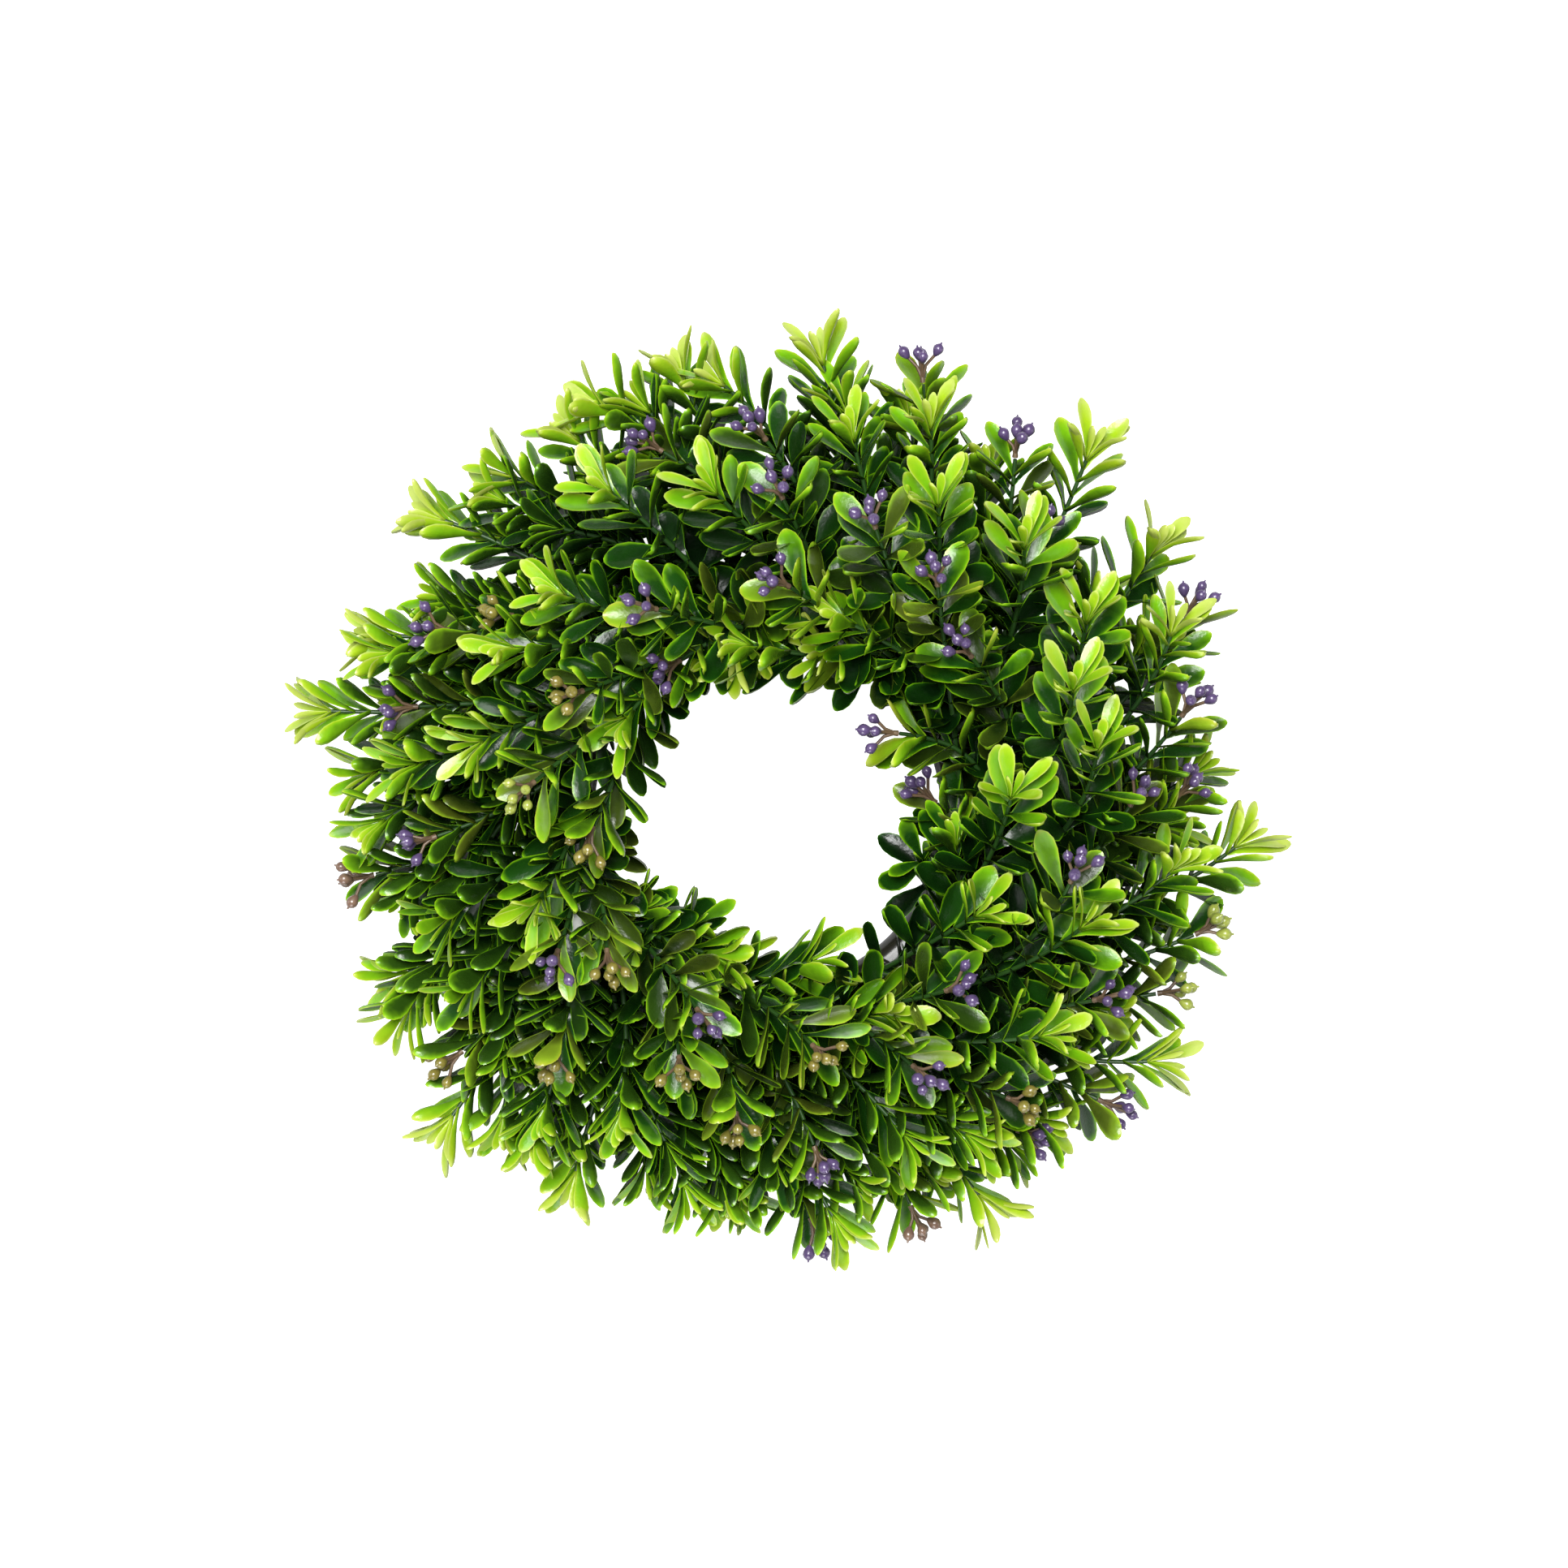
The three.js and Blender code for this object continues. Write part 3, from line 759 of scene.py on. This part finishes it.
def leaf_ripeness_and_shade(leaf, spot):
    """How pale each spot of a leaf is: by its age, which carries painted shade and light, towards its end
    and above all on its rim.
    """
    age = leaf.attribute("age")
    # The sides and the rim are paler, partly in the leaf's own colour and partly as a painted highlight
    # along the edge.
    side = leaf.math("ABSOLUTE", spot["Y"])
    side_rim = leaf.math("POWER", side, RIM_SHARPNESS)
    rim = leaf.math("MAXIMUM", side_rim, leaf.math("POWER", spot["X"], END_RIM_SHARPNESS))
    end_share = leaf.math("MULTIPLY_ADD", age, PALE_BY_AGED_END, PALE_BY_END)
    mottle = leaf.math("SUBTRACT", leaf.noise(MOTTLE_SCALE), MOTTLE_MIDDLE)
    # Low leaves and the foot of each leaf are darker, partly in the plastic's own colour and partly as
    # painted shade.
    ripe_and_shade = leaf.math("MULTIPLY", leaf.math("POWER", age, AGE_BEND), PALE_BY_AGE)
    ripe_and_shade = leaf.math("MULTIPLY_ADD", leaf.math("POWER", spot["X"], END_BEND), end_share, ripe_and_shade)
    ripe_and_shade = leaf.math("MULTIPLY_ADD", leaf.attribute("tone"), PALE_BY_TONE, ripe_and_shade)
    ripe_and_shade = leaf.math("MULTIPLY_ADD", mottle, PALE_BY_MOTTLE, ripe_and_shade)
    ripe_and_shade = leaf.math("MULTIPLY_ADD", leaf.math("POWER", side, SIDE_BEND), PALE_BY_SIDE, ripe_and_shade)
    return leaf.math("MULTIPLY_ADD", rim, PALE_BY_RIM, ripe_and_shade, clamp=True)


leaf_plastic = Finish("leaf_plastic", roughness=0.27)
leaf_plastic.surface.inputs["Specular IOR Level"].default_value = 0.42
spot = leaf_plastic.add("ShaderNodeSeparateXYZ", {0: leaf_plastic.attribute("spot", "Vector")}).outputs
ripe_and_shade = leaf_ripeness_and_shade(leaf_plastic, spot)
greens = leaf_plastic.add("ShaderNodeValToRGB", {0: ripe_and_shade})
stops = greens.color_ramp.elements
for position, green in LEAF_GREENS[1:-1]:
    stops.new(position)
for stop, (position, green) in zip(stops, LEAF_GREENS):
    stop.position = position
    stop.color = green
underside = leaf_plastic.math("LESS_THAN", spot["Z"], UNDERSIDE)
rusty = leaf_plastic.math("MULTIPLY_ADD", underside, UNDERSIDE_OLIVE, leaf_plastic.attribute("rust"))
leaf_plastic.colour(leaf_plastic.math("MULTIPLY", ripe_and_shade, rusty), greens.outputs["Color"], RUSTY_OLIVE)
leaf_plastic.bump(leaf_plastic.noise(900, detail=3), strength=0.35, distance=0.0003)

stem_plastic = Finish("stem_plastic", roughness=0.45)
stem_plastic.colour(stem_plastic.noise(120), STEM_DARK, STEM_PALE)

# A sprig's ripeness sets how pale its leaves are: partly their own tone, partly painted shade low in the
# wreath and painted light on sprigs that stand high or far out.
BUDDED_RIPENESS = 0.6
LIT_FAR_BUDDED_RIPENESS = 0.75
BUDDED_FAR_OUT = 112
SHADED_INNER_RIPENESS = 0.5  # sprigs that end low at the opening, darkened as painted shade
INNER_OUT = 50
INNER_UP = 35
PLAIN_RIPENESS = 0.68
LIT_HIGH_RIPENESS = 0.22  # more for those that end high or far out, and more again for far out: partly painted light
HIGH_UP = (30, 60)
LIT_FAR_RIPENESS = 0.20
FAR_RIPE_OUT = (105, 125)


def share_between(value, low, high):
    """0 up to a low value, 1 from a high one on, and in proportion between them."""
    return min(1.0, max(0.0, (value - low) / (high - low)))


def ripeness_and_shade_of(tip, buds):
    """Sprigs that end low at the opening are darkened as painted shade, budded ones are darker in their own
    colour, and those that end high or far out are paler, partly by painted light.
    """
    _, out, up = tip
    if buds:
        return BUDDED_RIPENESS if out < BUDDED_FAR_OUT else LIT_FAR_BUDDED_RIPENESS
    if out < INNER_OUT and up < INNER_UP:
        return SHADED_INNER_RIPENESS
    far = share_between(out, *FAR_RIPE_OUT)
    return PLAIN_RIPENESS + LIT_HIGH_RIPENESS * max(share_between(up, *HIGH_UP), far) + LIT_FAR_RIPENESS * far


def on_ring(direction, up):
    """The start of a stem on the ring's centre line, as degrees, mm out and mm up."""
    return direction, RING_RADIUS / MILLIMETRE, up


sprigs = []
for bunch, own in enumerate(SPRIGS):
    for row, (bend, tip, buds) in enumerate(own):
        start = on_ring(socket_direction(bunch), FORKS[row])
        sprigs.append(Sprig(bunch, row, start, bend, tip, buds, ripeness_and_shade_of(tip, buds)))


def grow_leaves(framework, name):
    """One green moulding, from its framework."""
    piece = framework.grow(name, leaf_kinds, stem_plastic, leaf_plastic)
    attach(piece, "root")
    return piece


for bunch in range(BUNCHES):
    framework = Framework()
    foot = place(socket_direction(bunch), RING_RADIUS, 0)
    foot_points = [foot + Vector((0, 0, height)) for height, _ in FOOT_PROFILE]
    framework.add_line(foot_points, [share * FOOT_RADIUS for _, share in FOOT_PROFILE])
    for sprig in sprigs:
        if sprig.bunch == bunch:
            add_sprig(framework, sprig)
    piece = grow_leaves(framework, f"leafy_bunch_{bunch + 1:02d}")
    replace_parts(piece, f"bunch_{bunch + 1:02d}")


# Single sprigs
# Smaller mouldings of one sprig each, pushed into the ring between the bunches to fill the
# wreath. Those of the fill lie low and are darkened there as painted shade, less towards the outline.

SINGLE_START_UP = 9
SINGLES = [  # direction of the start in degrees, the bend and the tip as above, and the buds
    (3, (10, 103, 12), (25, 136, 24), 'purple'),
    (6, (11, 85, 38), (37, 74, 64), 'purple'),
    (33, (47, 76, 37), (61, 101, 70), ''),
    (60, (83, 68, 32), (119, 51, 54), 'purple'),
    (63, (80, 67, 38), (99, 93, 66), ''),
    (66, (85, 84, 24), (106, 110, 38), 'purple'),
    (108, (123, 61, 28), (142, 93, 50), 'olive'),
    (111, (124, 61, 34), (147, 87, 58), ''),
    (117, (134, 72, 18), (146, 113, 26), ''),
    (132, (143, 61, 34), (166, 85, 62), ''),
    (144, (158, 67, 24), (172, 103, 46), ''),
    (159, (176, 50, 34), (201, 70, 64), ''),
    (162, (186, 59, 23), (198, 97, 42), ''),
    (168, (185, 50, 36), (220, 60, 64), 'olive'),
    (210, (218, 50, 39), (250, 59, 70), 'purple'),
    (213, (217, 69, 18), (218, 114, 26), 'olive'),
    (237, (241, 68, 14), (251, 111, 18), ''),
    (240, (265, 59, 18), (271, 101, 34), ''),
    (243, (269, 57, 25), (278, 98, 42), 'purple'),
    (246, (267, 64, 36), (300, 66, 62), ''),
    (270, (287, 75, 25), (302, 111, 42), ''),
    (273, (291, 84, 18), (308, 119, 24), 'purple'),
    (291, (321, 80, 21), (350, 56, 40), ''),
    (294, (311, 85, 26), (330, 109, 48), 'purple'),
    (297, (317, 84, 40), (340, 96, 66), ''),
    (312, (319, 94, 16), (335, 127, 24), 'green'),
    (321, (343, 87, 18), (3, 50, 34), 'purple'),
    (324, (344, 93, 17), (2, 120, 34), 'purple'),
    (348, (4, 86, 41), (22, 94, 76), ''),
    (88, (96, 98, 16), (101, 130, 26), ''),
    (99, (108, 92, 14), (117, 124, 24), ''),
    (158, (166, 92, 12), (174, 118, 16), ''),
    (225, (227, 52, 20), (235, 42, 28), ''),
    (330, (337, 51, 16), (343, 48, 30), ''),
    (88, (94, 64, 44), (101, 49, 46), ''),
    (44, (52, 62, 36), (68, 51, 46), ''),
]
LOW_FILL = [  # degrees past a socket, the bend and the tip, their degrees counted from the start
    (8, (10, 80, 12), (26, 110, 16)),
    (13, (12, 76, 18), (34, 98, 28)),
    (18, (12, 62, 20), (30, 76, 34)),
    (10, (8, 86, 16), (20, 118, 26)),
    (2, (10, 84, 16), (24, 93, 20)),
    (15, (12, 90, 15), (28, 104, 18)),
]
MORE_FILL = [  # the same from +X, where the wreath would be thin
    (168, (178, 80, 16), (190, 98, 22)),
    (198, (208, 78, 18), (222, 96, 26)),
    (212, (220, 74, 16), (233, 92, 22)),
    (262, (274, 84, 16), (288, 108, 22)),
    (272, (283, 82, 18), (297, 104, 26)),
    (330, (340, 84, 16), (353, 105, 22)),
    (338, (350, 92, 12), (5, 126, 18)),
    (46, (57, 92, 12), (70, 124, 18)),
    (186, (196, 88, 12), (206, 112, 18)),
    (206, (216, 92, 12), (229, 120, 16)),
    (264, (273, 88, 12), (283, 111, 18)),
    (284, (294, 92, 12), (306, 121, 16)),
]
BARE_RING = {  # bunch and row of the low fill left out, where the ring shows in the opening
    (2, 1), (2, 2), (3, 2), (4, 2), (7, 2), (8, 2), (12, 1), (12, 2), (13, 1), (13, 2)
}
FIRST_SINGLE = 20  # numbers that stand for bunch and row in what is stray about a single sprig
SINGLE_ROW = 5
FILL_ROW = 6
FIRST_MORE_FILL = 60
FILL_STRAY = 6  # degrees and millimetres
FILL_UP_STRAY = 5
SHADED_FILL_RIPENESS = 0.1
NARROW_SHADED_FILL_RIPENESS = 0.4
FAR_FILL_RIPENESS = 0.9
FAR_FILL_OUT = (95, 115)


def fill_ripeness_and_shade(tip):
    """The fill is darkened inside the wreath as painted shade, less so on its left, and pale where it
    reaches the outline.
    """
    narrow = NARROW_LEAVED[0] < tip[0] % 360 < NARROW_LEAVED[1]
    inside = NARROW_SHADED_FILL_RIPENESS if narrow else SHADED_FILL_RIPENESS
    return inside + (FAR_FILL_RIPENESS - inside) * share_between(tip[1], *FAR_FILL_OUT)


singles = []
for number, (direction, bend, tip, buds) in enumerate(SINGLES):
    start = on_ring(direction, SINGLE_START_UP)
    ripeness_and_shade = ripeness_and_shade_of(tip, buds)
    singles.append(Sprig(FIRST_SINGLE + number, SINGLE_ROW, start, bend, tip, buds, ripeness_and_shade))
for bunch in range(BUNCHES):
    for row, (past, bend, tip) in enumerate(LOW_FILL):
        if (bunch, row) in BARE_RING:
            continue
        direction = socket_direction(bunch) + past
        wander = FILL_STRAY * stray(bunch, row, 300)
        bend = (direction + bend[0] + wander / 2, bend[1], bend[2])
        tip = (
            direction + tip[0] + wander,
            tip[1] + FILL_STRAY * stray(bunch, row, 301),
            tip[2] + FILL_UP_STRAY * stray(bunch, row, 302),
        )
        start = on_ring(direction, SINGLE_START_UP)
        singles.append(Sprig(bunch, FILL_ROW + row, start, bend, tip, ripeness_and_shade=fill_ripeness_and_shade(tip)))
for number, (direction, bend, tip) in enumerate(MORE_FILL):
    start = on_ring(direction, SINGLE_START_UP)
    ripeness_and_shade = fill_ripeness_and_shade(tip)
    singles.append(Sprig(FIRST_MORE_FILL + number, FILL_ROW, start, bend, tip, ripeness_and_shade=ripeness_and_shade))
for number, sprig in enumerate(singles):
    framework = Framework()
    add_sprig(framework, sprig)
    grow_leaves(framework, f"single_sprig_{number + 1:02d}")


# Bud sprays
# Five small buds on thin stalks that part at one point on the end of a sprig. Each bud is a
# pearly moulded ball, about 3.5 mm across, with a nub at its end.

BUDS = 5
BUD_RADIUS = 0.0017
BUD_SIZE_STRAY = 0.12
BUD_SEAT = 0.9  # radii from the end of the stalk to the middle of the bud
BUD_SEGMENTS = 10
BUD_PROFILE = [  # along the bud and out from its line, as shares of its radius
    (-1.35, 0.0),
    (-1.3, 0.30),
    (-0.85, 0.62),
    (-0.2, 0.94),
    (0.3, 1.0),
    (0.78, 0.76),
    (1.05, 0.40),
    (1.16, 0.19),
    (1.46, 0.16),
    (1.52, 0.0),
]
BUD_COLOURS = {  # deep and pale colour
    "purple": ((0.028, 0.016, 0.052, 1), (0.115, 0.075, 0.18, 1)),
    "olive": ((0.085, 0.065, 0.015, 1), (0.23, 0.20, 0.035, 1)),
    "brown": ((0.07, 0.035, 0.035, 1), (0.20, 0.13, 0.08, 1)),
    "green": ((0.14, 0.18, 0.025, 1), (0.34, 0.38, 0.07, 1)),
}
HUB_SINK = 0.0005  # from the sprig's tip to the foot of the hub
HUB_PROFILE = [(0.0, 0.0009), (0.0012, 0.0008), (0.0024, 0.0005)]  # along it, and its radius there
HUB_FORK = 0.001  # where the stalks part
STALK_LENGTH = 0.0068
STALK_LENGTH_STRAY = 0.25
STALK_RADIUS = 0.0005
STALK_ROOT_RADIUS = 1.2 * STALK_RADIUS
STALK_SPREAD = 33
STALK_SPREAD_STRAY = 9
STALK_TURN_STRAY = 0.4
STALK_CURVE = 0.4  # how much of the sprig's own direction the first half of a stalk keeps
STALK_DARK = (0.06, 0.035, 0.03, 1)
STALK_PALE = (0.14, 0.09, 0.04, 1)

bud_points = []
for along, out in BUD_PROFILE:
    for segment in range(BUD_SEGMENTS):
        turn = 2 * math.pi * segment / BUD_SEGMENTS
        across = out * BUD_RADIUS * math.cos(turn)
        over = out * BUD_RADIUS * math.sin(turn)
        bud_points.append((along * BUD_RADIUS, across, over))
bud_faces = []
for row in range(len(BUD_PROFILE) - 1):
    for segment in range(BUD_SEGMENTS):
        here = row * BUD_SEGMENTS + segment
        after = row * BUD_SEGMENTS + (segment + 1) % BUD_SEGMENTS
        bud_faces.append((here, here + BUD_SEGMENTS, after + BUD_SEGMENTS, after))
bud_shapes = gather("bud_shapes", [add_mesh("bud_shape", bud_points, bud_faces)])

bud_finishes = {}
for colour, (deep, pale) in BUD_COLOURS.items():
    finish = Finish(f"bud_{colour}", roughness=0.3, coat=0.3)
    finish.colour(finish.noise(420, detail=3), deep, pale)
    finish.bump(finish.noise(1200), strength=0.25, distance=0.0003)
    bud_finishes[colour] = finish
stalk_plastic = Finish("stalk_plastic", roughness=0.45)
stalk_plastic.colour(stalk_plastic.noise(200), STALK_DARK, STALK_PALE)


def grow_spray(name, sprig):
    """A hub on the tip of a sprig, with five stalks that each end in a bud."""
    tip, along = sprig.at(1)
    across, over = sides_of(along)
    framework = Framework()
    hub = tip + along * HUB_SINK
    hub_points = [hub + along * length for length, _ in HUB_PROFILE]
    framework.add_line(hub_points, [radius for _, radius in HUB_PROFILE])
    for number in range(BUDS):
        spread = 0 if number == 0 else STALK_SPREAD + STALK_SPREAD_STRAY * sprig.stray(200 + number)
        lean = math.radians(spread)
        turn = 2 * math.pi * number / (BUDS - 1) + STALK_TURN_STRAY * sprig.stray(210 + number)
        way = along * math.cos(lean) + (across * math.cos(turn) + over * math.sin(turn)) * math.sin(lean)
        length = STALK_LENGTH * (1 + STALK_LENGTH_STRAY * sprig.stray(220 + number))
        fork = hub + along * HUB_FORK
        middle = fork + (way * (1 - STALK_CURVE) + along * STALK_CURVE).normalized() * length / 2
        end = fork + way * length
        framework.add_line([fork, middle, end], [STALK_ROOT_RADIUS, STALK_RADIUS, STALK_RADIUS])
        size = 1 + BUD_SIZE_STRAY * sprig.stray(230 + number)
        framework.add_point(
            end + way * BUD_RADIUS * BUD_SEAT,
            carries=True,
            size=(size, size, size),
            facing=way.to_track_quat("X", "Z"),
        )
    piece = framework.grow(name, bud_shapes, stalk_plastic, bud_finishes[sprig.buds])
    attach(piece, "root")
    return piece


SOLID_SPRAY_MIDDLE = 0.006  # from a sprig's tip to the middle of its solid spray
budded = [sprig for sprig in sprigs + singles if sprig.buds]
for node in [node for node in frame["nodes"] if node.startswith("bud_spray")]:
    low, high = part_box(node)
    middle = (low + high) / 2
    distances = []
    for sprig in budded:
        tip, along = sprig.at(1)
        distances.append((tip + SOLID_SPRAY_MIDDLE * along - middle).length)
    nearest = budded.pop(distances.index(min(distances)))
    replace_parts(grow_spray(node.replace("bud_spray", "buds"), nearest), node)
for number, sprig in enumerate(budded):
    grow_spray(f"more_buds_{number + 1:02d}", sprig)

for shapes in (leaf_kinds, bud_shapes):
    for shape in list(shapes.objects):
        bpy.data.objects.remove(shape)
    bpy.data.collections.remove(shapes)


# Floor, light and camera
# The wreath lies face up on a plain white floor under soft light, and the camera looks
# straight down on it, as the photograph looks at its front.

FLOOR_REACH = 6.0
FLOOR_GREY = (0.45, 0.45, 0.45, 1)  # what the floor throws back on the wreath
WHITE = (1, 1, 1, 1)
LIGHT_SIZE = 0.8
LIGHTS = {  # place and watts
    "light_above_top": ((-0.1, 0.35, 1.4), 47),
    "light_left": ((-1.2, 0.1, 0.5), 5),
    "light_right": ((1.2, -0.3, 0.5), 4),
    "light_below": ((-0.2, -1.2, 0.6), 14),
}
ROOM_LIGHT = 0.02
PHOTO_WIDTH = 0.471  # of what the photograph's frame takes in, at the height below
PHOTO_MIDDLE = (0.0004, 0.0012, 0.006)
CAMERA_LENS = 100

floor_corners = [(-1, -1), (1, -1), (1, 1), (-1, 1)]
floor_points = [(x * FLOOR_REACH, y * FLOOR_REACH, 0) for x, y in floor_corners]
floor = add_mesh("floor", floor_points, [(0, 1, 2, 3)])
floor_white = Finish("floor_white", roughness=0.9)
floor_white.surface.inputs["Base Color"].default_value = FLOOR_GREY
floor_white.surface.inputs["Emission Color"].default_value = WHITE
floor_white.feed("Emission Strength", floor_white.add("ShaderNodeLightPath").outputs["Is Camera Ray"])
floor.data.materials.append(floor_white.material)

for name, (position, watts) in LIGHTS.items():
    lamp = bpy.data.lights.new(name, "AREA")
    lamp.size = LIGHT_SIZE
    lamp.energy = watts
    light = bpy.data.objects.new(name, lamp)
    light.location = position
    light.rotation_euler = (-Vector(position)).to_track_quat("-Z", "Y").to_euler()
    bpy.context.scene.collection.objects.link(light)

studio = bpy.data.worlds.new("studio")
studio.use_nodes = True
room = Nodes(studio.node_tree)
backdrop = room.tree.nodes["Background"]
backdrop.inputs["Color"].default_value = WHITE
seen = room.add("ShaderNodeLightPath").outputs["Is Camera Ray"]
strength = room.add("ShaderNodeMapRange", {"Value": seen, "To Min": ROOM_LIGHT})  # white behind the wreath
room.tree.links.new(strength.outputs["Result"], backdrop.inputs["Strength"])
bpy.context.scene.world = studio
bpy.context.scene.view_settings.view_transform = "Standard"

camera_data = bpy.data.cameras.new("camera")
camera_data.lens = CAMERA_LENS
camera = bpy.data.objects.new("camera", camera_data)
camera_distance = PHOTO_WIDTH * CAMERA_LENS / camera_data.sensor_width
camera.location = Vector(PHOTO_MIDDLE) + Vector((0, 0, camera_distance))
bpy.context.scene.collection.objects.link(camera)
bpy.context.scene.camera = camera
